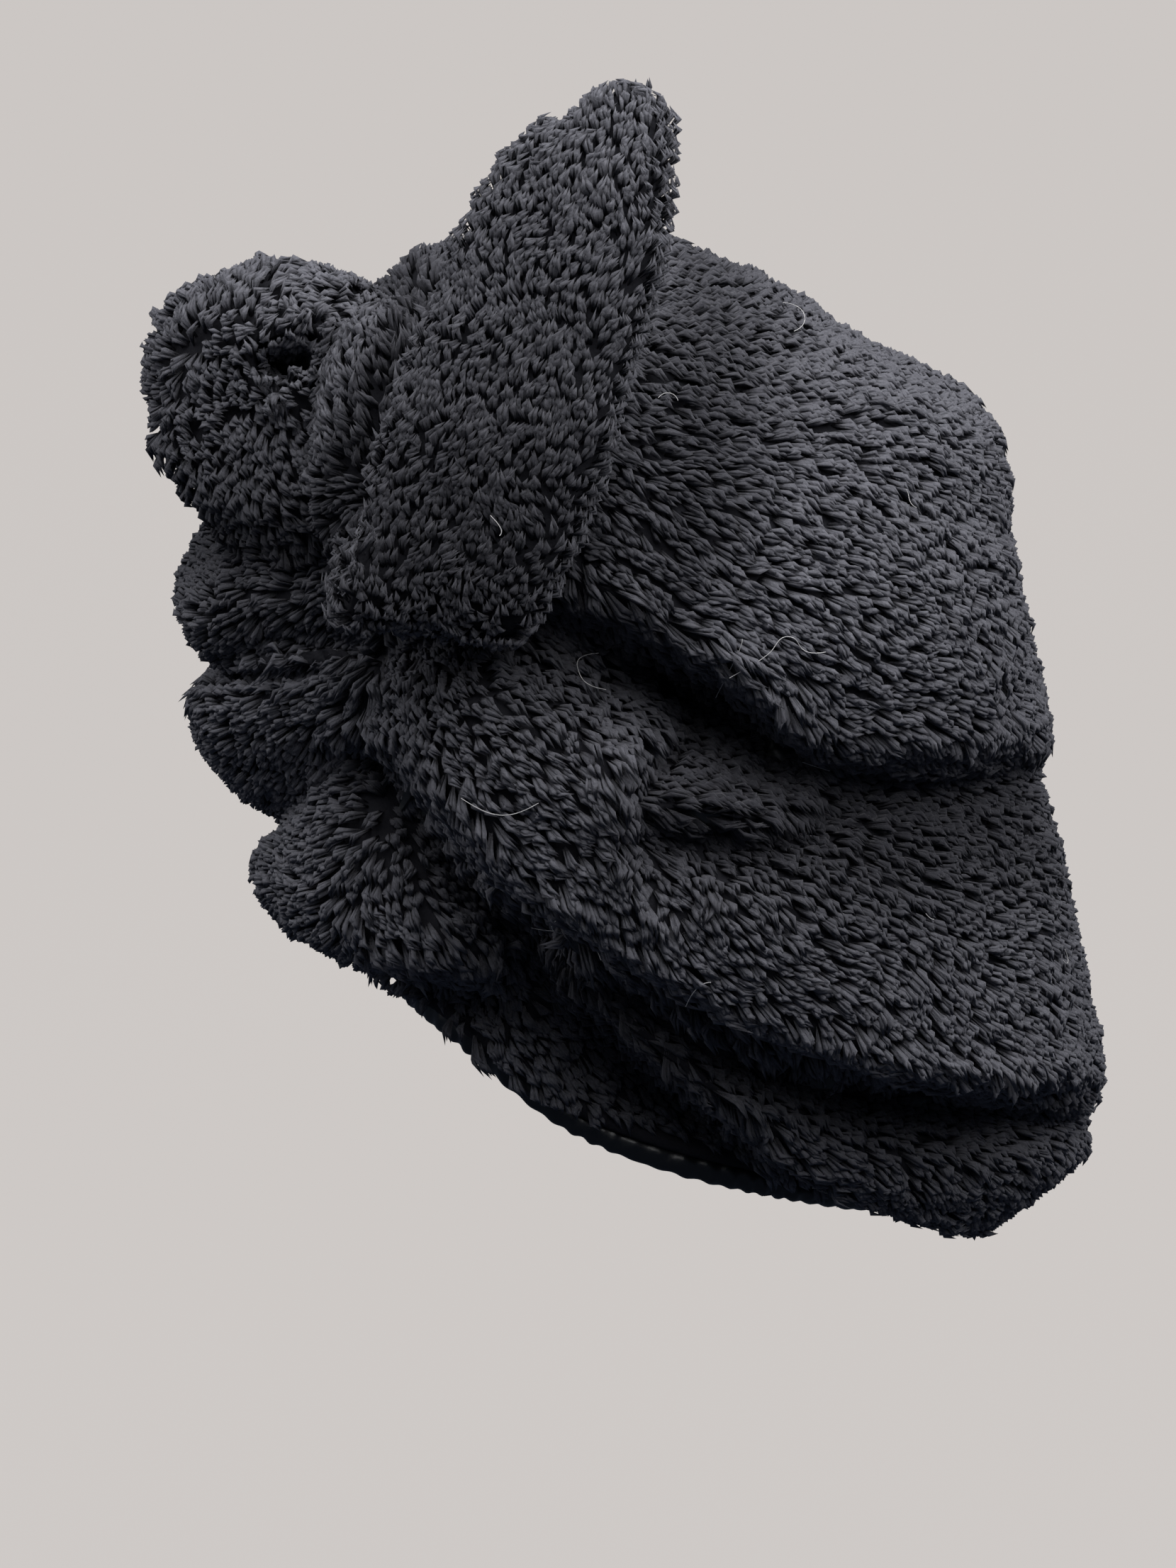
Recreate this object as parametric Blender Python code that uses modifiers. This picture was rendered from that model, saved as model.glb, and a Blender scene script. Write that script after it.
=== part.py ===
"""Pile-fleece sleep bonnet, in the form that it keeps when a head holds it up.

+Z is up, the wearer faces -Y, and +X is the wearer's left. The origin is the centre of the head opening.
A deep bag of curly pile fleece falls in soft rolls from a gather at the front, under a tied bow:
one end of the bow stands up, the other is a loop, and a wrap holds both. Satin binds the opening's edge.
"""

import math
from collections import namedtuple

import bmesh
import bpy
import numpy as np
from mathutils import Matrix, Vector

MM = 0.001

# Driving sizes, in metres. A wall is the fleece's whole thickness: curly pile, backing and satin lining.
FLEECE = 0.007
HEM_SHARE = 0.5
SEAT_GAP = 0.0004
LOOP_SEAT_GAP = 0.0012
BINDING_HEIGHT = 0.007
BINDING_THICKNESS = 0.0045
DOWN = Vector((0, 0, -1))

# The bag is lofted through level rings. A ring is set by (radius, height) pairs, in millimetres, at these
# angles, counted from the front (-Y) towards the wearer's left (+X). The right side mirrors the left, but for
# its cheek.
STATION_ANGLES = {
    "right_cheek": -28,
    "gather": 10,
    "left_cheek": 40,
    "left_side": 90,
    "left_quarter": 145,
    "back": 180,
    "right_quarter": 215,
    "right_side": 270,
}
MIRRORED = {"right_quarter": "left_quarter", "right_side": "left_side"}

Ring = namedtuple("Ring", "name right_cheek gather left_cheek left_side left_quarter back")
RINGS = [
    Ring("hem", (86, 42), (89, 47), (85, 24), (80, -4), (87, -34), (89, -41)),
    Ring("band", (93, 46), (99, 57), (95, 36), (87, 3), (97, -45), (102, -51)),
    Ring("band_crease", (92, 54), (96, 68), (92, 56), (88, 10), (104, -48), (110, -54)),
    Ring("chin_lip", (121, 62), (118, 73), (111, 82), (106, 5), (112, -47), (119, -52)),
    Ring("chin_roll", (134, 78), (130, 96), (122, 98), (119, 18), (131, -30), (135, -34)),
    Ring("chin_top", (131, 92), (120, 128), (112, 112), (121, 38), (147, -12), (147, -12)),
    Ring("cheek_crease", (120, 98), (115, 144), (102, 120), (106, 56), (143, -1), (145, 0)),
    Ring("cheek_lip", (132, 102), (117, 149), (126, 112), (138, 54), (149, 4), (149, 6)),
    Ring("cheek_low", (147, 118), (119, 155), (143, 130), (150, 70), (150, 16), (150, 20)),
    Ring("cheek_roll", (153, 136), (120, 163), (150, 158), (148, 96), (142, 48), (142, 52)),
    Ring("cheek_top", (147, 149), (119, 172), (143, 184), (136, 126), (133, 90), (133, 90)),
    Ring("crown_crease", (130, 152), (115, 179), (114, 198), (112, 152), (124, 124), (124, 122)),
    Ring("crown_lip", (142, 151), (117, 183), (118, 206), (129, 152), (128, 134), (128, 132)),
    Ring("crown_low", (158, 170), (116, 194), (128, 224), (140, 176), (120, 162), (124, 158)),
    Ring("crown_roll", (151, 192), (108, 216), (118, 250), (133, 212), (112, 198), (117, 196)),
    Ring("shoulder", (116, 244), (92, 246), (96, 273), (108, 250), (107, 232), (111, 230)),
    Ring("top", (76, 275), (64, 276), (60, 286), (68, 272), (76, 249), (78, 248)),
    Ring("peak", (30, 287), (28, 288), (28, 290), (30, 287), (32, 276), (32, 276)),
]
RING_NAMES = [ring.name for ring in RINGS]
PEAK_HEIGHT = 0.289

# Columns lie closest where the rolls meet at the gather, and over the pocket beside it.
FINE_COLUMNS = (-42, 78, 5)
COARSE_STEP = 9.6
ROW_SPACING = 0.0125

# Hollows and ridges in the bag, each along a line from one (angle, height) to another, on the rows from one
# ring to another. A positive depth goes in. Across a fold, angle counts as distance round at this radius.
FOLD_RADIUS = 0.135
Fold = namedtuple("Fold", "name start end half_width depth first last")
FOLDS = [
    Fold("pocket", (60, 0.186), (70, 0.176), 0.013, 0.024, "cheek_roll", "crown_crease"),
    Fold("pocket_tail", (63, 0.174), (60, 0.142), 0.008, 0.011, "cheek_low", "cheek_top"),
    Fold("inner_roll", (65, 0.158), (82, 0.156), 0.009, -0.009, "cheek_low", "cheek_top"),
    Fold("inner_crease", (62, 0.140), (104, 0.138), 0.009, 0.008, "cheek_low", "cheek_top"),
    Fold("chin_split", (37, 0.082), (38, 0.110), 0.009, 0.014, "chin_lip", "chin_top"),
    Fold("crown_hollow", (84, 0.254), (118, 0.224), 0.016, 0.006, "crown_low", "shoulder"),
]

# The bow's pieces are lofted along these sections: a centre, half a width and half a thickness.
# A groove is a share of the thickness, pressed in along both broad faces.
Section = namedtuple("Section", "x y z half_width half_thickness groove", defaults=(0.0,))
TIE_END = [
    Section(0.030, -0.110, 0.225, 0.0120, 0.0090),
    Section(0.040, -0.116, 0.218, 0.0180, 0.0100),
    Section(0.055, -0.121, 0.213, 0.0230, 0.0110),
    Section(0.070, -0.121, 0.214, 0.0280, 0.0120),
    Section(0.077, -0.117, 0.224, 0.0315, 0.0120),
    Section(0.080, -0.110, 0.244, 0.0340, 0.0120),
    Section(0.082, -0.102, 0.267, 0.0345, 0.0120),
    Section(0.081, -0.092, 0.290, 0.0330, 0.0120),
    Section(0.081, -0.082, 0.314, 0.0315, 0.0120),
    Section(0.081, -0.073, 0.333, 0.0265, 0.0120),
    Section(0.081, -0.065, 0.344, 0.0200, 0.0110),
    Section(0.078, -0.063, 0.352, 0.0135, 0.0090),
    Section(0.076, -0.063, 0.357, 0.0055, 0.0050),
]
TIE_END_WIDTH_ALONG = Vector((0.769, 0.627, 0.128))
BOW_LOOP = [
    Section(0.002, -0.101, 0.244, 0.0300, 0.0180),
    Section(-0.010, -0.103, 0.243, 0.0380, 0.0240, 0.30),
    Section(-0.026, -0.107, 0.242, 0.0450, 0.0290, 0.32),
    Section(-0.043, -0.110, 0.244, 0.0445, 0.0310, 0.30),
    Section(-0.060, -0.113, 0.244, 0.0415, 0.0300, 0.24),
    Section(-0.074, -0.115, 0.245, 0.0355, 0.0280, 0.16),
    Section(-0.086, -0.117, 0.245, 0.0285, 0.0240, 0.08),
    Section(-0.094, -0.119, 0.244, 0.0200, 0.0180),
    Section(-0.099, -0.120, 0.243, 0.0090, 0.0090),
]
BOW_LOOP_WIDTH_ALONG = Vector((-0.296, 0.171, 0.940))

# The eye between the loop's two layers: a tapering bar cuts it, wide towards the wearer's left. It is blind,
# because the two layers meet again before the loop's far side.
EYE_CENTRE = Vector((-0.031, -0.114, 0.259))
EYE_ALONG = Vector((0.814, -0.470, 0.342))
EYE_LENGTH = 0.08
EYE_NARROW_RADIUS = 0.006
EYE_WIDE_RADIUS = 0.014
EYE_FLATNESS = 0.65
EYE_SIDES = 14

KNOT_WRAP = [
    Section(0.016, -0.101, 0.204, 0.0090, 0.0100),
    Section(0.016, -0.104, 0.209, 0.0150, 0.0180),
    Section(0.016, -0.106, 0.224, 0.0190, 0.0230),
    Section(0.016, -0.105, 0.244, 0.0200, 0.0240),
    Section(0.015, -0.100, 0.264, 0.0190, 0.0230),
    Section(0.014, -0.096, 0.277, 0.0150, 0.0180),
    Section(0.014, -0.094, 0.282, 0.0090, 0.0100),
]
KNOT_WIDTH_ALONG = Vector((0.95, 0.31, 0.0))
SECTION_POINTS = 18
STEPS_A_SECTION = 2
SQUARENESS = 2.5
GROOVE_WIDTH = 0.3
TIP_SHARE = 0.5

# Colours are linear. The bow's pieces catch more light than the bag, and the tip of the tie the most.
BAG_PILE = (0.026, 0.026, 0.029, 1)
TIE_PILE = (0.036, 0.036, 0.039, 1)
LOOP_PILE = (0.032, 0.032, 0.035, 1)
KNOT_PILE = (0.030, 0.030, 0.033, 1)
SATIN_BLACK = (0.010, 0.010, 0.012, 1)
PILE_ROUGHNESS = 0.95
SATIN_ROUGHNESS = 0.35
CREASE_ANGLE = math.radians(50)


def clear_scene():
    for old in list(bpy.data.objects):
        bpy.data.objects.remove(old)


def new_collection(name):
    made = bpy.data.collections.new(name)
    bpy.context.scene.collection.children.link(made)
    return made


def set_finish(obj, name, colour, roughness):
    material = bpy.data.materials.new(name)
    material.use_nodes = True
    shader = material.node_tree.nodes["Principled BSDF"]
    shader.inputs["Base Color"].default_value = colour
    shader.inputs["Roughness"].default_value = roughness
    shader.inputs["Metallic"].default_value = 0.0
    obj.data.materials.append(material)


def place(degrees, radius, height):
    angle = math.radians(degrees)
    return np.array([radius * math.sin(angle), -radius * math.cos(angle), height])


def hermite(start, end, start_slope, end_slope, t):
    return (
        (2 * t**3 - 3 * t**2 + 1) * start
        + (t**3 - 2 * t**2 + t) * start_slope
        + (3 * t**2 - 2 * t**3) * end
        + (t**3 - t**2) * end_slope
    )


def round_spline(degrees, knots, values):
    """A smooth closed curve through values at the knots' angles, read at one angle."""
    count = len(knots)
    turned = (degrees - knots[0]) % 360 + knots[0]
    at = max(i for i in range(count) if knots[i] <= turned)
    knot = [knots[i % count] + 360 * (i // count) for i in range(at - 1, at + 3)]
    value = [values[i % count] for i in range(at - 1, at + 3)]
    span = knot[2] - knot[1]
    start_slope = (value[2] - value[0]) / (knot[2] - knot[0]) * span
    end_slope = (value[3] - value[1]) / (knot[3] - knot[1]) * span
    return hermite(value[1], value[2], start_slope, end_slope, (turned - knot[1]) / span)


def through(points, segment, t):
    """A centripetal Catmull-Rom curve through the points, at share t of one segment."""
    p = [points[min(max(segment + i, 0), len(points) - 1)] for i in (-1, 0, 1, 2)]
    gaps = [max(np.linalg.norm(p[i + 1] - p[i]), 1e-5) ** 0.5 for i in range(3)]
    start = (p[1] - p[0]) / gaps[0] - (p[2] - p[0]) / (gaps[0] + gaps[1]) + (p[2] - p[1]) / gaps[1]
    end = (p[2] - p[1]) / gaps[1] - (p[3] - p[1]) / (gaps[1] + gaps[2]) + (p[3] - p[2]) / gaps[2]
    return hermite(p[1], p[2], start * gaps[1], end * gaps[1], t)


def ring_point(ring, degrees):
    pairs = np.array([getattr(ring, MIRRORED.get(name, name)) for name in STATION_ANGLES]) * MM
    radius, height = round_spline(degrees, list(STATION_ANGLES.values()), pairs)
    return place(degrees, radius, height)


def column_angles():
    first, last, step = FINE_COLUMNS
    fine = np.linspace(first, last, round((last - first) / step), endpoint=False)
    rest = 360 - (last - first)
    coarse = np.linspace(last, last + rest, round(rest / COARSE_STEP), endpoint=False)
    return np.concatenate([fine, coarse])


def bag_rows():
    """The bag's outer face as rows of points from the hem to the peak, and each row's place among the rings."""
    rings = np.array([[ring_point(ring, a) for a in column_angles()] for ring in RINGS])
    rows, places = [], []
    for segment in range(len(rings) - 1):
        length = np.linalg.norm(rings[segment + 1] - rings[segment], axis=1).mean()
        steps = max(1, round(length / ROW_SPACING))
        for step in range(steps):
            places.append(segment + step / steps)
            rows.append([through(rings[:, c], segment, step / steps) for c in range(rings.shape[1])])
    return np.array(rows + [rings[-1]]), np.array(places + [len(rings) - 1])


def distance_from(points, fold):
    """How far points lie from a fold's line, measured round the bag and up it."""
    angle = np.arctan2(points[..., 0], -points[..., 1]) * FOLD_RADIUS
    flat = np.stack([angle, points[..., 2]], axis=-1)
    start, end = (np.array([math.radians(a) * FOLD_RADIUS, z]) for a, z in (fold.start, fold.end))
    along = end - start
    t = np.clip(((flat - start) @ along) / (along @ along), 0, 1)
    return np.linalg.norm(flat - start - t[..., None] * along, axis=-1)


def fold_in(rows, places):
    """The rows with the folds' hollows and ridges pressed towards and away from the bag's axis."""
    out = rows[..., :2] / np.linalg.norm(rows[..., :2], axis=-1, keepdims=True)
    for fold in FOLDS:
        inside = (places >= RING_NAMES.index(fold.first)) & (places <= RING_NAMES.index(fold.last))
        depth = fold.depth * np.exp(-((distance_from(rows, fold) / fold.half_width) ** 2))
        rows[..., :2] -= out * (depth * inside[:, None])[..., None]
    return rows


def object_of(name, mesh, collection):
    data = bpy.data.meshes.new(name)
    mesh.to_mesh(data)
    mesh.free()
    data.shade_smooth()
    made = bpy.data.objects.new(name, data)
    collection.objects.link(made)
    return made


def skin(rows, ends):
    """A mesh through rings of points. Each entry of ends, a point or None, closes the first or last ring.

    The faces are triangles, so that the bag and its cutter divide a bent face along the same diagonal.
    """
    mesh = bmesh.new()
    rings = [[mesh.verts.new(point) for point in row] for row in rows]
    count = len(rings[0])
    for low, high in zip(rings, rings[1:]):
        for i in range(count):
            j = (i + 1) % count
            mesh.faces.new((low[i], low[j], high[j]))
            mesh.faces.new((low[i], high[j], high[i]))
    for ring, end, turn in ((rings[0], ends[0], -1), (rings[-1], ends[1], 1)):
        if end is None:
            continue
        tip = mesh.verts.new(end)
        for i in range(count):
            corners = (ring[i], ring[(i + 1) % count], tip)
            mesh.faces.new(corners[::turn])
    return mesh


def grown(name, mesh, gap, collection):
    """A cutter: the closed mesh with each vertex moved out by the gap."""
    mesh.normal_update()
    for vertex in mesh.verts:
        vertex.co += vertex.normal * gap
    cutter = object_of(name, mesh, collection)
    cutter.hide_render = True
    cutter.display_type = "WIRE"
    return cutter


def cut(obj, cutter):
    boolean = obj.modifiers.new("clear of " + cutter.name, "BOOLEAN")
    boolean.operation = "DIFFERENCE"
    boolean.solver = "EXACT"
    boolean.object = cutter


def make_bag(collection):
    """The bag's outer face, with a wall grown inwards that is thinner at the hem."""
    rows, places = bag_rows()
    bag = object_of("bonnet_bag", skin(fold_in(rows, places), (None, (0, 0, PEAK_HEIGHT))), collection)
    thinning = bag.vertex_groups.new(name="thickness")
    count = rows.shape[1]
    thinning.add(list(range(len(bag.data.vertices))), 1.0, "REPLACE")
    thinning.add(list(range(count)), 0.0, "REPLACE")
    wall = bag.modifiers.new("wall", "SOLIDIFY")
    wall.thickness = FLEECE
    wall.offset = -1
    wall.vertex_group = "thickness"
    wall.thickness_vertex_group = HEM_SHARE
    set_finish(bag, "black curly pile", BAG_PILE, PILE_ROUGHNESS)


def make_bag_cutter(collection):
    """The bag as a solid block, closed at the head opening's centre, which the bow's pieces are cut by."""
    rows, places = bag_rows()
    block = skin(fold_in(rows, places), ((0, 0, 0), (0, 0, PEAK_HEIGHT)))
    return grown("bag_clearance", block, SEAT_GAP, collection)


def section_ring(section, along, width_along):
    """One closed outline, square to the line that the sections follow."""
    width = (width_along - along * width_along.dot(along)).normalized()
    depth = along.cross(width)
    centre = Vector(section[:3])
    ring = []
    for i in range(SECTION_POINTS):
        turn = 2 * math.pi * i / SECTION_POINTS
        across = math.copysign(abs(math.cos(turn)) ** (2 / SQUARENESS), math.cos(turn))
        out = math.copysign(abs(math.sin(turn)) ** (2 / SQUARENESS), math.sin(turn))
        out *= 1 - section[5] * math.exp(-((across / GROOVE_WIDTH) ** 2))
        ring.append(centre + width * section[3] * across + depth * section[4] * out)
    return ring


def lofted(sections, width_along):
    """A closed mesh along the sections, with its ends drawn to a point."""
    table = np.array(sections)
    shares = [step / STEPS_A_SECTION for step in range(STEPS_A_SECTION)]
    fine = [through(table, i, share) for i in range(len(table) - 1) for share in shares] + [table[-1]]
    centres = [Vector(row[:3]) for row in fine]
    rings = []
    for i, row in enumerate(fine):
        along = (centres[min(i + 1, len(fine) - 1)] - centres[max(i - 1, 0)]).normalized()
        rings.append(section_ring(row, along, width_along))
    first = centres[0] + (centres[0] - centres[1]).normalized() * fine[0][4] * TIP_SHARE
    last = centres[-1] + (centres[-1] - centres[-2]).normalized() * fine[-1][4] * TIP_SHARE
    return skin(rings, (first, last))


def make_tie_end(collection, bag_cutter):
    tie_end = object_of("tie_end_near", lofted(TIE_END, TIE_END_WIDTH_ALONG), collection)
    cut(tie_end, bag_cutter)
    set_finish(tie_end, "black curly pile of the tie end", TIE_PILE, PILE_ROUGHNESS)


def make_eye_cutter(collection):
    """A tapering bar through the loop, where its two layers part beside the knot."""
    mesh = bmesh.new()
    turn = EYE_ALONG.to_track_quat("Z", "X").to_matrix().to_4x4()
    flatten = Matrix.Diagonal((EYE_FLATNESS, 1, 1, 1))
    bmesh.ops.create_cone(
        mesh,
        cap_ends=True,
        segments=EYE_SIDES,
        radius1=EYE_NARROW_RADIUS,
        radius2=EYE_WIDE_RADIUS,
        depth=EYE_LENGTH,
        matrix=Matrix.Translation(EYE_CENTRE) @ turn @ flatten,
    )
    return grown("loop_eye", mesh, 0, collection)


def make_bow_loop(collection, cutters, bag_cutter):
    loop = object_of("bow_loop_far", lofted(BOW_LOOP, BOW_LOOP_WIDTH_ALONG), collection)
    cut(loop, bag_cutter)
    cut(loop, make_eye_cutter(cutters))
    set_finish(loop, "black curly pile of the bow loop", LOOP_PILE, PILE_ROUGHNESS)


def make_knot(collection, cutters, bag_cutter):
    knot = object_of("knot_wrap", lofted(KNOT_WRAP, KNOT_WIDTH_ALONG), collection)
    cut(knot, bag_cutter)
    cut(knot, grown("tie_end_clearance", lofted(TIE_END, TIE_END_WIDTH_ALONG), SEAT_GAP, cutters))
    cut(knot, grown("loop_clearance", lofted(BOW_LOOP, BOW_LOOP_WIDTH_ALONG), LOOP_SEAT_GAP, cutters))
    set_finish(knot, "black curly pile of the knot", KNOT_PILE, PILE_ROUGHNESS)


def make_binding(collection):
    """A satin strip that hangs straight down from the fleece's end, all round the opening."""
    hem = [Vector(point) for point in bag_rows()[0][0]]
    count = len(hem)
    mesh = bmesh.new()
    sections = []
    for i in range(count):
        onward = hem[(i + 1) % count] - hem[i - 1]
        inward = Vector((-onward.y, onward.x, 0)).normalized()
        top = hem[i] + (inward + DOWN) * SEAT_GAP
        inner = top + inward * BINDING_THICKNESS
        corners = (top, inner, inner + DOWN * BINDING_HEIGHT, top + DOWN * BINDING_HEIGHT)
        sections.append([mesh.verts.new(corner) for corner in corners])
    for i in range(count):
        near, far = sections[i], sections[(i + 1) % count]
        for k in range(4):
            mesh.faces.new((near[k], near[(k + 1) % 4], far[(k + 1) % 4], far[k]))
    bmesh.ops.recalc_face_normals(mesh, faces=mesh.faces)
    binding = object_of("satin_binding", mesh, collection)
    binding.data.set_sharp_from_angle(angle=CREASE_ANGLE)
    set_finish(binding, "black satin", SATIN_BLACK, SATIN_ROUGHNESS)


def main():
    clear_scene()
    parts = new_collection("sleep_bonnet")
    cutters = new_collection("cutters")
    make_bag(parts)
    bag_cutter = make_bag_cutter(cutters)
    make_tie_end(parts, bag_cutter)
    make_bow_loop(parts, cutters, bag_cutter)
    make_knot(parts, cutters, bag_cutter)
    make_binding(parts)


main()
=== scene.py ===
"""The looks of the pile-fleece sleep bonnet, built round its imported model.

Run it with blender --background --python scene.py. Everything is in metres, +Z up, and the wearer faces -Y.
The sections follow the bonnet as it is sewn: the bag's backing and its pile, the bow, the satin edge,
then the loose threads on the pile and the studio.
"""

import math

import bmesh
import bpy
import numpy as np
from mathutils import Matrix, Vector
from mathutils.bvhtree import BVHTree


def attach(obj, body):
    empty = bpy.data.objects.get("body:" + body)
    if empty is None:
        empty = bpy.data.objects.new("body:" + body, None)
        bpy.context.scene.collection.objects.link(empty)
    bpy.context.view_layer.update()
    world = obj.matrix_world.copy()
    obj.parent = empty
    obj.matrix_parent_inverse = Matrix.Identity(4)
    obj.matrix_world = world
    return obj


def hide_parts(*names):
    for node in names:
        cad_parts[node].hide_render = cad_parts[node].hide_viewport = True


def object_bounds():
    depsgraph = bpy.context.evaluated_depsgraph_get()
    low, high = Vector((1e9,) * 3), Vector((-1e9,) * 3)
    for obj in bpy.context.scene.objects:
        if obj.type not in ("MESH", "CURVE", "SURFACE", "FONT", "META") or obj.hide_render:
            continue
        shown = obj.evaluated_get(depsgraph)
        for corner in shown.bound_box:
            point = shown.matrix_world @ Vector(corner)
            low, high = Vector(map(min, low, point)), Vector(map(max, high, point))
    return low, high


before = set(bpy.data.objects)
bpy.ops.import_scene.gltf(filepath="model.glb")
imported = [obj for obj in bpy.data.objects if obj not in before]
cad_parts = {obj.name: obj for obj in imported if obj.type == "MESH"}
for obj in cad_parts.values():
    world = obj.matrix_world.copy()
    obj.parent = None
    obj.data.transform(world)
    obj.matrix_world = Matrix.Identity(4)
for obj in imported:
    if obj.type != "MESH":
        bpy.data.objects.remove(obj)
cad_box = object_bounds()


# The bag's backing
# The fleece is long curly pile on a knitted backing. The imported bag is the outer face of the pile, so the
# backing lies under it by the pile's depth. The bag's two faces part at the rim, which faces the binding.

PILE_DEPTH = 0.0045
RIM_REACH = 0.0055
HEM_BLEND = 0.010
HEM_OVERLAP = 0.0006
SAME_POINT = 0.00002


def merged_copy(node):
    shell = bmesh.new()
    shell.from_mesh(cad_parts[node].data)
    bmesh.ops.remove_doubles(shell, verts=shell.verts, dist=SAME_POINT)
    return shell


def reached_from(start, barred):
    """The indices of the faces that edges join to this one, none of them barred."""
    found, waiting = {start.index}, [start]
    while waiting:
        for edge in waiting.pop().edges:
            for face in edge.link_faces:
                if face.index not in found and face.index not in barred:
                    found.add(face.index)
                    waiting.append(face)
    return found


def only_faces(shell, wanted):
    part = shell.copy()
    bmesh.ops.delete(part, geom=[face for face in part.faces if face.index not in wanted], context="FACES")
    return part


def faces_of_bag():
    """The bag's outer face with its rim, and its inner face, as two open shells."""
    bag = merged_copy("bonnet_bag")
    bag.faces.index_update()
    near = {vertex for vertex in bag.verts if to_binding(vertex.co) < RIM_REACH}
    rim = {face.index for face in bag.faces if near.issuperset(face.verts)}
    top = max(bag.verts, key=lambda vertex: vertex.co.z).link_faces[0]
    outside = reached_from(top, rim)
    inside = {face.index for face in bag.faces} - outside - rim
    return only_faces(bag, outside | rim), only_faces(bag, inside)


binding_tree = BVHTree.FromBMesh(merged_copy("satin_binding"))


def to_binding(point):
    return binding_tree.find_nearest(point)[3]


def piece_of(name, mesh):
    mesh.shade_smooth()
    piece = bpy.data.objects.new(name, mesh)
    bpy.context.scene.collection.objects.link(piece)
    return piece


def rounded(name, shell, levels):
    """A piece of the shell with its facets rounded off."""
    mesh = bpy.data.meshes.new(name)
    shell.to_mesh(mesh)
    shell.free()
    piece = piece_of(name, mesh)
    rounding = piece.modifiers.new("rounding", "SUBSURF")
    rounding.levels = rounding.render_levels = levels
    finer = bpy.data.meshes.new_from_object(piece.evaluated_get(bpy.context.evaluated_depsgraph_get()))
    piece.modifiers.clear()
    piece.data = finer
    return piece


def set_points(mesh, points):
    mesh.vertices.foreach_set("co", points.ravel())
    mesh.update()


def moved_in(mesh, depth):
    """The mesh moved in from its own surface by a depth, which may differ from point to point."""
    points, normals = points_of(mesh)
    set_points(mesh, points - normals * np.reshape(depth, (-1, 1)))


def points_of(mesh):
    points = np.empty(len(mesh.vertices) * 3)
    normals = np.empty(len(mesh.vertices) * 3)
    mesh.vertices.foreach_get("co", points)
    mesh.vertices.foreach_get("normal", normals)
    return points.reshape(-1, 3), normals.reshape(-1, 3)


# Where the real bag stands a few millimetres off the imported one: each push has a place, a reach and a move.
# The crown and the hem lie a little higher all round.
PUSHES = {
    "hump behind the knot": ((-0.036, -0.067, 0.275), 0.026, (0, 0, 0.010)),
    "hollow beside the loop": ((-0.071, -0.133, 0.212), 0.024, (0.0075, 0.0141, 0)),
}
CROWN_RISE = np.array([0, 0, 0.0045])
CROWN_FROM, CROWN_TO = 0.225, 0.275
HEM_RISE = np.array([0, 0, 0.0055])
HEM_RISE_REACH = 0.030


def push(mesh):
    points = points_of(mesh)[0]
    crown = np.clip((points[:, 2:] - CROWN_FROM) / (CROWN_TO - CROWN_FROM), 0, 1)
    hem = np.array([[max(0, 1 - to_binding(point) / HEM_RISE_REACH)] for point in points])
    moved = points + crown * CROWN_RISE + hem * HEM_RISE
    for place, reach, move in PUSHES.values():
        share = np.exp(-((np.linalg.norm(points - place, axis=1) / reach) ** 2))
        moved += share[:, None] * np.array(move)
    set_points(mesh, moved)


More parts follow.
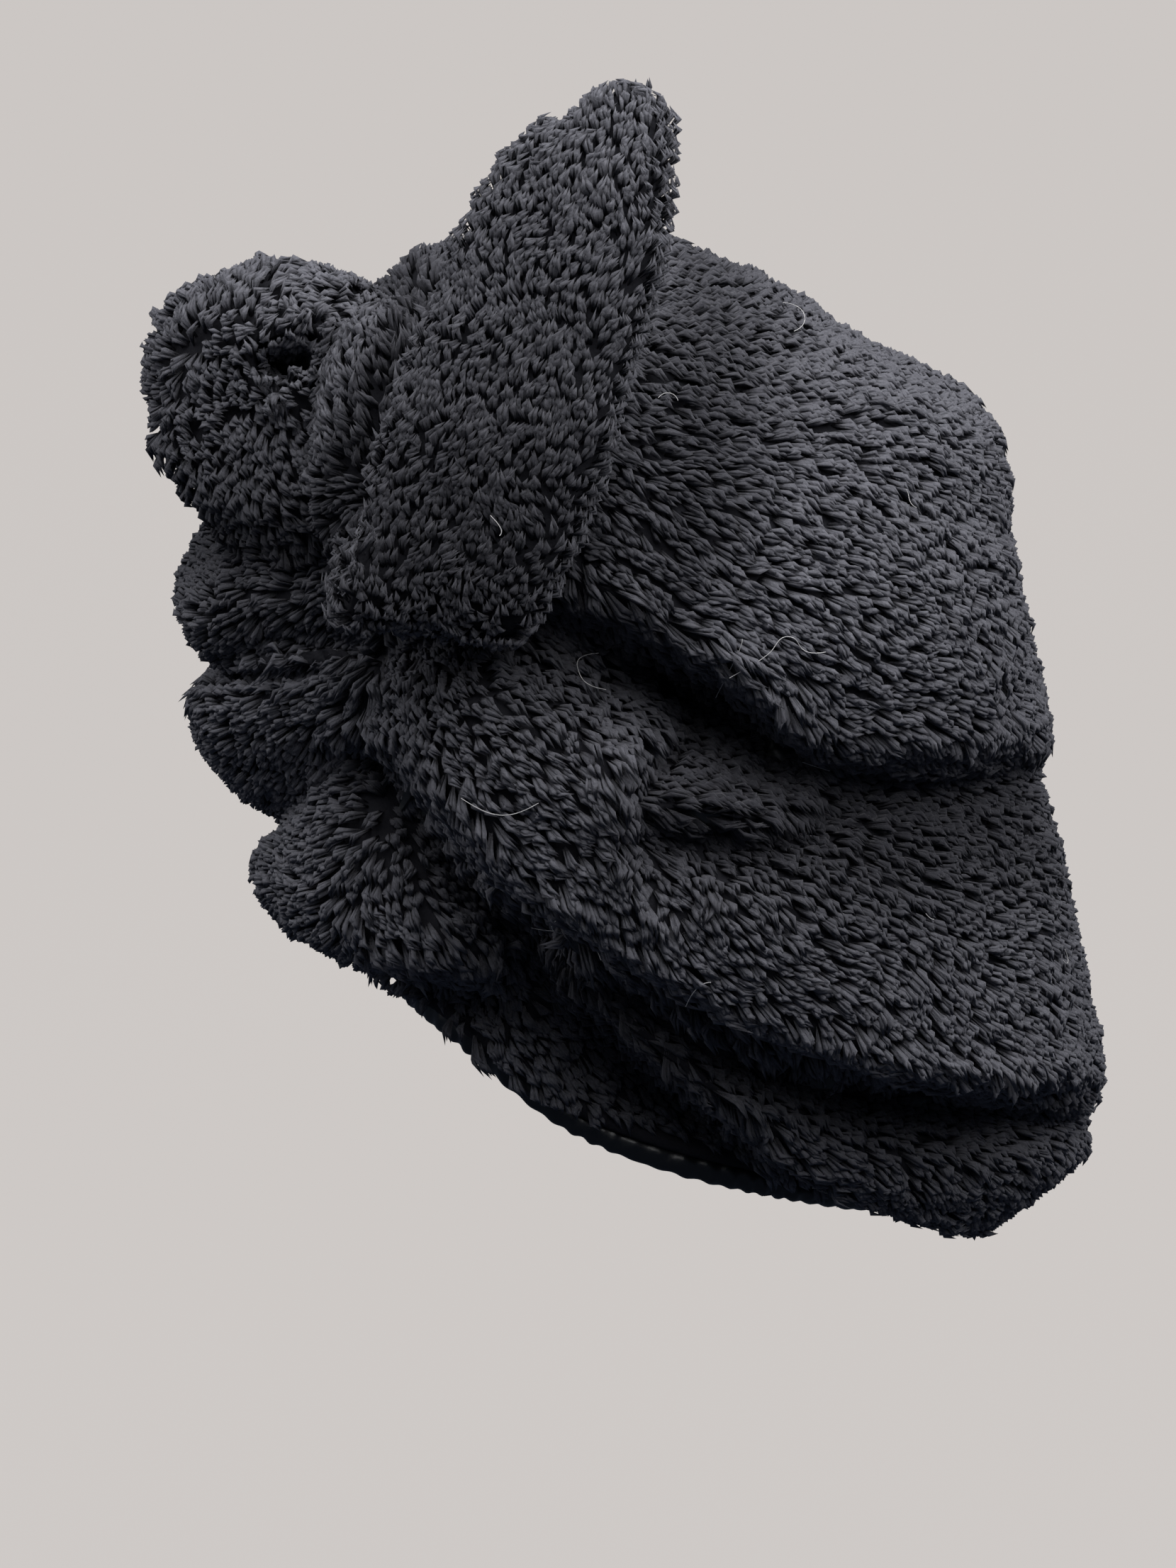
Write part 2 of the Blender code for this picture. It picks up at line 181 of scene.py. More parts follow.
# The creases between the folds, as the photograph shows them. Each row is a point of the crease in the
# photograph's pixels, how far the fleece goes back there in millimetres, and how many pixels that reaches.
# The fleece on the left hand, going along a crease, is the lip that stands over it.
PHOTO_WIDE = 1659
PHOTO_TALL = 2212
PHOTO_RIGHT = np.array([0.5, 0.8660, 0])
PHOTO_UP = np.array([-0.2962, 0.1710, 0.9397])
PHOTO_BACK = np.array([0.8138, -0.4698, 0.3420])
CAMERA_PLACE = np.array([1.1462, -0.6884, 0.5972])
LENS_MM = 100
SENSOR_MM = 36
CREASES = {
    "under the crown": [
        (700, 850, 0, 50),
        (790, 862, 7, 55),
        (853, 877, 12, 60),
        (928, 922, 16, 70),
        (1003, 959, 24, 80),
        (1060, 1000, 24, 70),
        (1100, 1045, 18, 60),
        (1152, 1083, 9, 55),
        (1230, 1080, 8, 60),
        (1320, 1073, 8, 70),
        (1420, 1066, 8, 80),
        (1490, 1062, 7, 80),
    ],
    "right of the front fold": [
        (925, 1310, 0, 40),
        (910, 1230, 5, 45),
        (893, 1140, 9, 45),
        (898, 1085, 9, 45),
        (938, 1040, 12, 50),
        (945, 985, 12, 50),
        (925, 945, 6, 50),
        (900, 930, 0, 50),
    ],
    "under the small roll": [
        (905, 1165, 8, 45),
        (960, 1173, 10, 45),
        (1062, 1180, 10, 50),
        (1115, 1163, 9, 50),
        (1152, 1140, 8, 45),
        (1190, 1110, 7, 45),
        (1235, 1086, 5, 45),
    ],
    "under the big fold": [
        (500, 1060, 7, 40),
        (532, 1067, 11, 45),
        (577, 1123, 14, 50),
        (629, 1183, 15, 55),
        (659, 1228, 15, 55),
        (711, 1280, 17, 60),
        (771, 1310, 17, 60),
        (808, 1348, 15, 55),
        (883, 1392, 16, 55),
        (958, 1437, 16, 55),
        (1032, 1475, 17, 60),
        (1107, 1500, 18, 60),
        (1182, 1527, 18, 65),
        (1279, 1538, 20, 70),
        (1376, 1545, 20, 70),
        (1451, 1545, 18, 60),
        (1515, 1535, 10, 45),
        (1555, 1530, 3, 30),
    ],
    "left of the under roll": [
        (715, 1310, 4, 40),
        (756, 1348, 10, 50),
        (794, 1400, 13, 55),
        (846, 1435, 15, 60),
        (868, 1462, 19, 70),
        (928, 1512, 21, 75),
        (988, 1564, 16, 60),
        (1048, 1616, 8, 40),
        (1100, 1654, 4, 30),
        (1152, 1676, 2, 30),
    ],
    "round the lowest front roll": [
        (470, 1352, 0, 30),
        (540, 1377, 6, 40),
        (592, 1388, 8, 40),
        (659, 1402, 9, 40),
        (704, 1390, 10, 45),
        (728, 1345, 10, 45),
        (715, 1300, 6, 40),
        (680, 1255, 0, 35),
    ],
    "between the upper front rolls": [
        (560, 915, 4, 40),
        (506, 918, 7, 45),
        (443, 915, 8, 45),
        (387, 917, 8, 45),
        (343, 928, 7, 40),
        (302, 947, 5, 40),
    ],
}
# Painted shade on the pile where there is no crease, for the shadow of what lies over it. The last two
# numbers of a row are how much painted shade the pile gets, from 0 to 1, and how many pixels that reaches.
PAINTED_SHADE_ZONES = {
    "beside the standing end": [
        (985, 300, 0.6, 90),
        (975, 480, 0.85, 120),
        (960, 700, 0.85, 110),
        (900, 860, 0.7, 80),
    ],
    "under the crown's overhang": [
        (960, 1150, 1.0, 120),
        (1250, 1190, 1.0, 150),
        (1480, 1170, 0.9, 110),
    ],
}
CREASE_WALL = 9
LIP_PLACE = 32
LIP_HEIGHT = 0.0060
DEEP_CREASE_MM = 12
# How many times wider than a crease's reach its painted shade goes.
PAINTED_SHADE_REACH = 1.5
FRONT_FROM, FRONT_TO = -0.03, 0.03
HEM_FREE = 0.014
MM = 0.001


def in_photo(points):
    """Where points fall in the photograph, in its pixels."""
    away = (CAMERA_PLACE - points) @ PHOTO_BACK
    scale = LENS_MM / SENSOR_MM * PHOTO_TALL / away
    aside, above = (points - CAMERA_PLACE) @ PHOTO_RIGHT, (points - CAMERA_PLACE) @ PHOTO_UP
    return PHOTO_WIDE / 2 + aside * scale, PHOTO_TALL / 2 - above * scale


def crease_at(crease, x, y):
    """Each point's distance from the crease, over 0 on the lip, and the crease's depth and reach there."""
    distance = np.full(len(x), np.inf)
    side, depth, reach = np.zeros((3, len(x)))
    for (x0, y0, depth0, reach0), (x1, y1, depth1, reach1) in zip(crease, crease[1:]):
        run_x, run_y = x1 - x0, y1 - y0
        share = np.clip(((x - x0) * run_x + (y - y0) * run_y) / (run_x**2 + run_y**2), 0, 1)
        off_x, off_y = x - x0 - share * run_x, y - y0 - share * run_y
        nearer = np.hypot(off_x, off_y) < distance
        distance = np.where(nearer, np.hypot(off_x, off_y), distance)
        side = np.where(nearer, np.sign(off_x * run_y - off_y * run_x), side)
        depth = np.where(nearer, depth0 + share * (depth1 - depth0), depth)
        reach = np.where(nearer, reach0 + share * (reach1 - reach0), reach)
    return distance * side, depth, reach


def creases_at(points):
    """How far back the creases take each point, in metres, then how much of a lip it is, and how much painted
    shade it gets for the shadow of the creases and zones.

    The last two go from 0 to 1. The creases end short of the hem, which the binding holds.
    """
    x, y = in_photo(points)
    back, lip, painted_shade = np.zeros((3, len(points)))
    for crease in CREASES.values():
        distance, depth, reach = crease_at(crease, x, y)
        hollow = np.exp(-((distance / reach) ** 2))
        wall = np.clip(1 - distance / CREASE_WALL, 0, 1)
        back = np.maximum(back, depth * MM * np.where(distance < 0, hollow, wall))
        strength = np.clip(depth / DEEP_CREASE_MM, 0, 1)
        ridge = np.exp(-(((distance - LIP_PLACE) / LIP_PLACE) ** 2))
        lip = np.maximum(lip, strength * (distance > 0) * ridge)
        # Painted shade in the hollow under each lip, reaching wider than the crease, for its shadow.
        wide = np.exp(-((distance / (PAINTED_SHADE_REACH * reach)) ** 2))
        painted_shade = np.maximum(painted_shade, strength * np.where(distance < 0, wide, wall))
    # Painted shade in the zones, for the shadow of what lies over the pile there.
    for zone in PAINTED_SHADE_ZONES.values():
        distance, amount, reach = crease_at(zone, x, y)
        painted_shade = np.maximum(painted_shade, amount * np.exp(-((distance / reach) ** 2)))
    middle = np.mean(cad_box, axis=0)
    front = np.clip(((points - middle) @ PHOTO_BACK - FRONT_FROM) / (FRONT_TO - FRONT_FROM), 0, 1)
    above_hem = np.clip(np.array([to_binding(point) for point in points]) / HEM_FREE, 0, 1)
    return back * front * above_hem, lip * front * above_hem, painted_shade * front


def crease(mesh):
    points = points_of(mesh)[0]
    back, lip, _ = creases_at(points)
    set_points(mesh, points + PHOTO_BACK * (lip * LIP_HEIGHT - back)[:, None])


def linear(hex_colour):
    """An sRGB hex colour as linear red, green, blue and alpha."""
    parts = [int(hex_colour[i : i + 2], 16) / 255 for i in (1, 3, 5)]
    return [c / 12.92 if c <= 0.04045 else ((c + 0.055) / 1.055) ** 2.4 for c in parts] + [1]


def material_named(name):
    material = bpy.data.materials.new(name)
    material.use_nodes = True
    return material, material.node_tree.nodes["Principled BSDF"]


def add(material, kind, sockets, **settings):
    """A node of this kind in the material. Each socket takes a value, or another node's output."""
    made = material.node_tree.nodes.new("ShaderNode" + kind)
    for key, value in settings.items():
        setattr(made, key, value)
    for key, value in sockets.items():
        if isinstance(value, bpy.types.NodeSocket):
            material.node_tree.links.new(value, made.inputs[key])
        else:
            made.inputs[key].default_value = value
    return made


def knitted_backing():
    """Polyester knit, dyed black: dull, and nearly hidden under the pile. Its loops are 1 mm apart."""
    material, shader = material_named("dyed polyester knit")
    place = add(material, "TexCoord", {})
    loops = add(material, "TexVoronoi", {"Vector": place.outputs["Object"], "Scale": 1000.0})
    bump = add(material, "Bump", {"Height": loops.outputs["Distance"], "Strength": 0.4, "Distance": 0.0004})
    material.node_tree.links.new(bump.outputs["Normal"], shader.inputs["Normal"])
    shader.inputs["Base Color"].default_value = linear("#1d1d21")
    shader.inputs["Roughness"].default_value = 1.0
    shader.inputs["Specular IOR Level"].default_value = 0.1
    return material


def finish_piece(piece, material, slot, *nodes):
    """Gives a piece its material and its place on the one body, and hides the solids that it stands for."""
    piece.data.materials.append(material)
    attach(piece, "root")
    if nodes:
        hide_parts(*nodes)


bag_face, bag_lining = faces_of_bag()
knit = knitted_backing()
backing = rounded("bag_backing", bag_face, 2)
hem_distance = np.array([to_binding(point) for point in points_of(backing.data)[0]])
push(backing.data)
crease(backing.data)
above_hem = np.clip((hem_distance - RIM_REACH) / HEM_BLEND, 0, 1)
moved_in(backing.data, PILE_DEPTH * above_hem - HEM_OVERLAP * (1 - above_hem))
finish_piece(backing, knit, "pile_fleece", "bonnet_bag")


# The bag's pile
# Sherpa pile: fine curly fibres that hold together in soft locks, which overlap like shingles. Each lock is a
# bundle of tapered curls that leave one spot of the backing, lean over along the lay, and dip at the tip.

LOCK_SPACING = 0.0030
LOCKS_A_PIECE = 6000
CURLS_A_LOCK = 5
TRIES_A_LOCK = 6
TINY = 1e-9
WAVES = 5
WAVES_SPREAD = 2.2
# A curl is a root, three points round its middle and a tip, joined by six faces. "along" goes from 0 at the
# root to 1 at the tip.
CURL_POINTS = 5
CURL_ALONG = [0, 0.6, 0.6, 0.6, 1.0]
CURL_FACES = np.array([(2, 1, 0), (3, 2, 0), (1, 3, 0), (1, 2, 4), (2, 3, 4), (3, 1, 4)])


def scattered(mesh, spacing, chance):
    """Points spread over a mesh, none nearer to another than the spacing, with the normals there."""
    points, normals = points_of(mesh)
    mesh.calc_loop_triangles()
    corners = np.empty(len(mesh.loop_triangles) * 3, int)
    mesh.loop_triangles.foreach_get("vertices", corners)
    corners = corners.reshape(-1, 3)
    a, b, c = (points[corners[:, k]] for k in range(3))
    areas = np.linalg.norm(np.cross(b - a, c - a), axis=1) / 2
    tries = int(TRIES_A_LOCK * areas.sum() / spacing**2)
    at = chance.choice(len(areas), tries, p=areas / areas.sum())
    u, v = chance.random((2, tries))
    folded = u + v > 1
    u[folded], v[folded] = 1 - u[folded], 1 - v[folded]
    share = np.stack([1 - u - v, u, v], axis=1)[..., None]
    spots = (points[corners[at]] * share).sum(axis=1)
    facing = (normals[corners[at]] * share).sum(axis=1)
    kept = spaced_out(spots, spacing)
    return spots[kept], facing[kept] / np.linalg.norm(facing[kept], axis=1, keepdims=True)


def spaced_out(spots, spacing):
    """The indices of the spots that stay when each new one near an earlier one is dropped."""
    cells, kept = {}, []
    around = [(i, j, k) for i in (-1, 0, 1) for j in (-1, 0, 1) for k in (-1, 0, 1)]
    in_cells = np.floor(spots / spacing).astype(int).tolist()
    for index, (spot, (a, b, c)) in enumerate(zip(spots.tolist(), in_cells)):
        near = (other for i, j, k in around for other in cells.get((a + i, b + j, c + k), ()))
        if any(math.dist(spot, other) < spacing for other in near):
            continue
        cells.setdefault((a, b, c), []).append(spot)
        kept.append(index)
    return kept


def unit(vectors):
    return vectors / np.maximum(np.linalg.norm(vectors, axis=-1, keepdims=True), TINY)


def flat_on(vectors, normals):
    """The vectors laid flat on the surface that has these normals."""
    return unit(vectors - normals * (vectors * normals).sum(axis=-1, keepdims=True))


def drift(spots, size, chance):
    """A smooth random number at each spot, about -1 to 1, that changes over distances of this size."""
    waves = unit(chance.normal(size=(WAVES, 3))) * (2 * math.pi / size)
    return np.sin(spots @ waves.T + chance.uniform(0, 2 * math.pi, WAVES)).sum(axis=1) / WAVES_SPREAD


def turned(lay, normals, angles):
    """The lay turned about each normal, by an angle in radians."""
    across = np.cross(normals, lay)
    return lay * np.cos(angles)[:, None] + across * np.sin(angles)[:, None]


# How far one lock differs from the next, and one curl from the next in its lock. A pair is the least and the
# most of the usual size.
TUFT_SIZE = 0.011
TUFT_LENGTH, TUFT_LIFT = 0.12, 0.2
LOCK_LENGTHS = (0.8, 1.2)
LOCK_LIFTS = (0.85, 1.15)
CURL_LENGTHS = (0.8, 1.15)
CURL_WIDTHS = (0.7, 1.2)
SWING, CURL_STRAY, TIP_STRAY = 0.14, 0.0006, 0.0004
LOCK_TONE = 0.6
# A curl's form, in shares of its length, of how high its lock stands, and of its place across the lock.
ROOT_BACK, ROOT_DEEP = -0.15, -0.0008
ENDS_ASIDE = 0.5
MIDDLE_ALONG = (0.50, 0.65)
MIDDLE_LIFT, TIP_LIFT, LIFT_BY_LEVEL = 0.75, 0.45, 0.4
THIRDS = (0, 2 * math.pi / 3, 4 * math.pi / 3)
FIBRE_STRETCH = 0.18


def locks(spots, normals, lay, sizes, painted_shade, chance):
    """The points, faces and looks of all curls.

    The sizes are a lock's length and width, how high it stands, and a curl's width.
    """
    count = len(spots) * CURLS_A_LOCK
    of_lock = np.repeat(np.arange(len(spots)), CURLS_A_LOCK)
    length, width, lift, curl = (np.broadcast_to(size, len(spots)) for size in sizes)
    tuft = drift(spots, TUFT_SIZE, chance)
    lock_length = length * (1 + TUFT_LENGTH * tuft) * chance.uniform(*LOCK_LENGTHS, len(spots))
    long = lock_length[of_lock] * chance.uniform(*CURL_LENGTHS, count)
    high = (lift * (1 + TUFT_LIFT * tuft) * chance.uniform(*LOCK_LIFTS, len(spots)))[of_lock]
    aside = chance.uniform(-0.5, 0.5, count) * width[of_lock]
    level = chance.uniform(0, 1, count)
    swing = chance.normal(0, SWING, len(spots))[of_lock] * long + chance.normal(0, CURL_STRAY, count)
    thick = curl[of_lock] / 2 * chance.uniform(*CURL_WIDTHS, count)
    roll = chance.uniform(0, 2 * math.pi, count)
    onward, sideways, upward = lay[of_lock], np.cross(normals, lay)[of_lock], normals[of_lock]

    def place(along, across, up):
        return spots[of_lock] + onward * along[:, None] + sideways * across[:, None] + upward * up[:, None]

    root = place(ROOT_BACK * long, aside * ENDS_ASIDE, ROOT_DEEP * np.ones(count))
    rounds = [
        place(
            long * chance.uniform(*MIDDLE_ALONG, count),
            aside + swing / 2 + thick * np.cos(roll + turn),
            high * (MIDDLE_LIFT + LIFT_BY_LEVEL * level) + thick * np.sin(roll + turn),
        )
        for turn in THIRDS
    ]
    tip_high = high * (TIP_LIFT + LIFT_BY_LEVEL * level) + chance.normal(0, TIP_STRAY, count)
    tip = place(long, aside * ENDS_ASIDE + swing, tip_high)
    points = np.stack([root, *rounds, tip], axis=1)
    tone = LOCK_TONE * chance.random(len(spots))[of_lock] + (1 - LOCK_TONE) * chance.random(count)
    from_spot = points - spots[of_lock][:, None]
    axes = (sideways, upward, onward * FIBRE_STRETCH)
    fibre = np.stack([(from_spot * axis[:, None]).sum(axis=-1) for axis in axes], axis=-1)
    fibre += chance.uniform(0, 1, (count, 1, 3))
    corners = CURL_FACES[None] + (np.arange(count) * CURL_POINTS)[:, None, None]
    looks = {
        "along": np.tile(CURL_ALONG, count),
        "tone": np.repeat(tone, CURL_POINTS),
        "painted_shade": np.repeat(np.broadcast_to(painted_shade, len(spots))[of_lock], CURL_POINTS),
        "fibre": fibre.reshape(-1, 3),
    }
    return points.reshape(-1, 3), corners.reshape(-1, 3), looks


def pile_mesh(name, points, corners, looks):
    mesh = bpy.data.meshes.new(name)
    mesh.vertices.add(len(points))
    mesh.vertices.foreach_set("co", points.ravel())
    mesh.loops.add(corners.size)
    mesh.loops.foreach_set("vertex_index", corners.ravel())
    mesh.polygons.add(len(corners))
    mesh.polygons.foreach_set("loop_start", np.arange(len(corners)) * 3)
    mesh.update(calc_edges=True)
    for key in ("along", "tone", "painted_shade"):
        mesh.attributes.new(key, "FLOAT", "POINT").data.foreach_set("value", looks[key])
    mesh.attributes.new("fibre", "FLOAT_VECTOR", "POINT").data.foreach_set("vector", looks["fibre"].ravel())
    return mesh


def curly_pile():
    """Charcoal-black polyester pile: dull fibres that glow at grazing angles, with painted shade that darkens
    them towards the root.

    Pile with painted shade is darker: painted shade for the shadow in the folds, under what lies over the
    pile, and where the pieces touch.
    """
    material, shader = material_named("charcoal curly polyester pile")
    along = add(material, "Attribute", {}, attribute_name="along").outputs["Fac"]
    tone = add(material, "Attribute", {}, attribute_name="tone").outputs["Fac"]
    painted_shade = add(material, "Attribute", {}, attribute_name="painted_shade").outputs["Fac"]
    fibre = add(material, "Attribute", {}, attribute_name="fibre").outputs["Vector"]
    strands = add(material, "TexNoise", {"Vector": fibre, "Scale": 1 / FIBRE_WIDTH, "Detail": 3.0})
    streaks = add(material, "MapRange", {"Value": strands.outputs[0], **STREAK_RANGE})
    # Painted shade down in the pile: the colour is darker towards the root.
    shade = add(material, "MapRange", {"Value": along, **ROOT_TO_TIP})
    varied = add(material, "Math", {0: tone, 1: TONE_SHARE, 2: shade.outputs[0]}, operation="MULTIPLY_ADD")
    streaked = {0: streaks.outputs[0], 1: STREAK_SHARE, 2: varied.outputs[0]}
    mixed = add(material, "Math", streaked, operation="MULTIPLY_ADD")
    # Painted shade: the pile's tone is multiplied down where the painted shade attribute is high.
    shade_factor = add(material, "MapRange", {"Value": painted_shade, "To Min": 1.0, "To Max": PAINTED_SHADE_TONE})
    shaded_mix = add(material, "Math", {0: mixed.outputs[0], 1: shade_factor.outputs[0]}, operation="MULTIPLY")
    colour = add(material, "ValToRGB", {"Fac": shaded_mix.outputs[0]})
    ramp = colour.color_ramp
    ramp.elements[0].position = 0.0
    ramp.elements[0].color = linear(PILE_ROOT)
    ramp.elements[1].position = 1.0
    ramp.elements[1].color = linear(PILE_TIP)
    bump = add(material, "Bump", {"Height": strands.outputs[0], "Strength": 0.6, "Distance": 0.0006})
    material.node_tree.links.new(colour.outputs["Color"], shader.inputs["Base Color"])
    material.node_tree.links.new(bump.outputs["Normal"], shader.inputs["Normal"])
    shader.inputs["Roughness"].default_value = 1.0
    shader.inputs["Specular IOR Level"].default_value = 0.08
    shader.inputs["Sheen Weight"].default_value = 0.2
    shader.inputs["Sheen Roughness"].default_value = 0.5
    shader.inputs["Sheen Tint"].default_value = linear("#a9a8b0")
    return material


FIBRE_WIDTH = 0.0006
STREAK_RANGE = {"From Min": 0.35, "From Max": 0.72}
# Painted shade down in the pile: how the tone falls from the tips to the roots.
ROOT_TO_TIP = {"From Min": 0.05, "From Max": 0.65, "To Max": 0.37}
TONE_SHARE = 0.15
STREAK_SHARE = 0.30
# How dark full painted shade leaves the pile, as a share of its tone.
PAINTED_SHADE_TONE = 0.15
PILE_ROOT = "#1c1c20"
PILE_TIP = "#717178"
pile = curly_pile()

# The pile is brushed out from the gather, the short seam at the front where the rolls meet, and hangs a
# little under its own weight, more so where the fleece faces down.
GATHER_TOP = np.array([0.016, -0.104, 0.236])
GATHER_FOOT = np.array([0.016, -0.110, 0.070])
HANG = 0.35
HANG_UNDER = 1.2
HANG_LIP = 1.2
DEEP = 0.020
# Painted shade on the bag's pile near the bow, for the bow's shadow: how far it reaches and how much it is.
BOW_REACH = 0.035
BOW_PAINTED_SHADE = 0.8
# How far the lay strays in radians, and over what distance that changes: wide, then near.
STRAYS = [(0.28, 0.050), (0.16, 0.016)]
LOCK_STRAY = 0.12
BAG_SEED = 7
LOCK_LENGTH, LONGER_ON_LIPS, SHORTER_IN_CREASES = 0.0088, 0.25, 0.3
LOCK_WIDTH, WIDER_ON_LIPS, NARROWER_IN_CREASES = 0.0034, 0.3, 0.2
LOCK_LIFT, CURL_WIDTH = 0.0034, 0.0020


def from_gather(spots):
    line = GATHER_TOP - GATHER_FOOT
    share = np.clip((spots - GATHER_FOOT) @ line / (line @ line), 0, 1)
    return unit(spots - GATHER_FOOT - share[:, None] * line)


def bag_lay(spots, normals, chance):
    under, lip = np.clip(-normals[:, 2:], 0, 1), creases_at(spots)[1][:, None]
    hang = HANG + HANG_UNDER * under + HANG_LIP * lip
    lay = flat_on(from_gather(spots) - hang * np.array([0, 0, 1.0]), normals)
    stray = sum(angle * drift(spots, size, chance) for angle, size in STRAYS)
    return turned(lay, normals, stray + chance.normal(0, LOCK_STRAY, len(spots)))


def to_neighbours(node, points):
    """How far each point is from the nearest of the other fleece pieces."""
    nearest = np.full(len(points), np.inf)
    for other in ("bonnet_bag", "tie_end_near", "bow_loop_far", "knot_wrap"):
        if other != node:
            tree = BVHTree.FromBMesh(merged_copy(other))
            nearest = np.minimum(nearest, [tree.find_nearest(point)[3] for point in points])
    return nearest


def grow_bag_pile():
    chance = np.random.default_rng(BAG_SEED)
    spots, normals = scattered(backing.data, LOCK_SPACING, chance)
    clear = np.array([to_binding(spot - HEM_RISE) > RIM_REACH for spot in spots])
    spots, normals = spots[clear], normals[clear]
    upward = np.argsort(spots[:, 2])
    spots, normals = spots[upward], normals[upward]
    lay = bag_lay(spots, normals, chance)
    back, lip, painted_shade = creases_at(spots)
    hidden = np.clip(back / DEEP, 0, 1)
    length = LOCK_LENGTH * (1 + LONGER_ON_LIPS * lip - SHORTER_IN_CREASES * hidden)
    width = LOCK_WIDTH * (1 + WIDER_ON_LIPS * lip - NARROWER_IN_CREASES * hidden)
    # Painted shade near the bow, for its shadow on the bag's pile.
    near_bow = np.exp(-((to_neighbours("bonnet_bag", spots) / BOW_REACH) ** 2))
    painted_shade = np.maximum(painted_shade, BOW_PAINTED_SHADE * near_bow)
    tiers = math.ceil(len(spots) / LOCKS_A_PIECE)
    for tier, to in enumerate(np.array_split(np.arange(len(spots)), tiers)):
        sizes = (length[to], width[to], LOCK_LIFT, CURL_WIDTH)
        grown = locks(spots[to], normals[to], lay[to], sizes, painted_shade[to], chance)
        name = f"bag_pile_{tier + 1}"
        finish_piece(piece_of(name, pile_mesh(name, *grown)), pile, "pile_fleece", "bonnet_bag")


grow_bag_pile()


# The bow's pile
# The bow is the same fleece, folded double: a loop on the wearer's right, a standing end on the left, and a
# wrap round the middle. The pile faces out all round, except where the pieces press on each other.

PRESSED = 0.0030
TOUCHING = 0.0010
# How far the painted shade reaches from where the bow pieces come near each other.
CONTACT_SHADE_REACH = 0.012
# Painted shade on the knot where the standing end lies over it, for its shadow, in rows like those of
# PAINTED_SHADE_ZONES.
UNDER_THE_STANDING_END = [
    (640, 360, 1.0, 28),
    (550, 515, 1.0, 30),
    (505, 640, 1.0, 32),
    (465, 760, 1.0, 32),
]
# Painted shade at the foot of each piece, darker towards the bottom, and on its front more than on its other
# sides: the height where that is full, the height where it ends, and how much it is.
PAINTED_SHADE_AT_FEET = {
    "tie_end_near": (0.235, 0.360, 1.00),
    "bow_loop_far": (0.215, 0.275, 0.90),
    "knot_wrap": (0.200, 0.235, 0.50),
}
SIDES_SHADE_SHARE = 0.3
CORE_DRAWN_IN = 0.7
EYE_CENTRE = np.array([-0.031, -0.114, 0.259])
EYE_ALONG = np.array([0.814, -0.470, 0.342])
EYE_REACH = 0.014
LOOP_CENTRE = np.array([-0.043, -0.110, 0.242])
LOOP_MIDDLE, LOOP_BLEND = 0.012, 0.025
TO_THE_KNOT = np.array([0.80, 0.30, -0.52])
UP_THE_END, END_SPREAD = np.array([0, 0.25, 1.0]), 0.3
KNOT_HEIGHT, KNOT_BLEND = 0.235, 0.02
KNOT_UP, KNOT_ASIDE = np.array([-0.2, 0, 1.0]), np.array([-0.5, 0, 0])
BOW_STRAY, BOW_STRAY_SIZE = 0.35, 0.03
BOW_LOCK_STRAY, KNOT_LOCK_STRAY = 0.2, 0.3


def room_for_pile(node, points):
    """From 0 where a bow piece presses on its neighbours, or round the loop's eye, to 1 in the open."""
    room = np.clip((to_neighbours(node, points) - TOUCHING) / PILE_DEPTH, 0, 1)
    if node == "bow_loop_far":
        away = points - EYE_CENTRE
        from_eye = np.linalg.norm(away - (away @ EYE_ALONG)[:, None] * EYE_ALONG, axis=1)
        room *= np.clip((from_eye - EYE_REACH) / PILE_DEPTH, 0, 1)
    return room


def strayed(lay, spots, normals, chance):
    stray = BOW_STRAY * drift(spots, BOW_STRAY_SIZE, chance)
    return turned(lay, normals, stray + chance.normal(0, BOW_LOCK_STRAY, len(spots)))


def standing_end_lay(spots, normals, chance):
    lay = flat_on(UP_THE_END + END_SPREAD * unit(spots - spots.mean(axis=0)), normals)
    return strayed(lay, spots, normals, chance)


def loop_lay(spots, normals, chance):
    away = spots - LOOP_CENTRE
    from_middle = np.linalg.norm(away[:, [0, 2]], axis=1) - LOOP_MIDDLE
    share = np.clip(from_middle / LOOP_BLEND, 0, 1)[:, None]
    lay = flat_on(unit(away) * share + unit(TO_THE_KNOT) * (1 - share), normals)
    return strayed(lay, spots, normals, chance)


def knot_lay(spots, normals, chance):
    rise = np.clip((spots[:, 2:] - KNOT_HEIGHT) / KNOT_BLEND, -1, 1)
    lay = flat_on(KNOT_UP * rise + KNOT_ASIDE, normals)
    return turned(lay, normals, chance.normal(0, KNOT_LOCK_STRAY, len(spots)))


def finer_at_the_edge(normals, sizes):
    """The standing end's lock sizes, from these on its faces to a fine fringe along its two edges."""
    edge = np.clip((np.abs(normals @ END_WIDTH_ALONG) - EDGE_FROM) / EDGE_BLEND, 0, 1)
    return [size + (fine - size) * edge for size, fine in zip(sizes, FRINGE_SIZES)]


END_WIDTH_ALONG = np.array([0.769, 0.627, 0.128])
EDGE_FROM, EDGE_BLEND = 0.5, 0.3
FRINGE_SIZES = (0.0056, 0.0026, 0.0042, 0.0012)


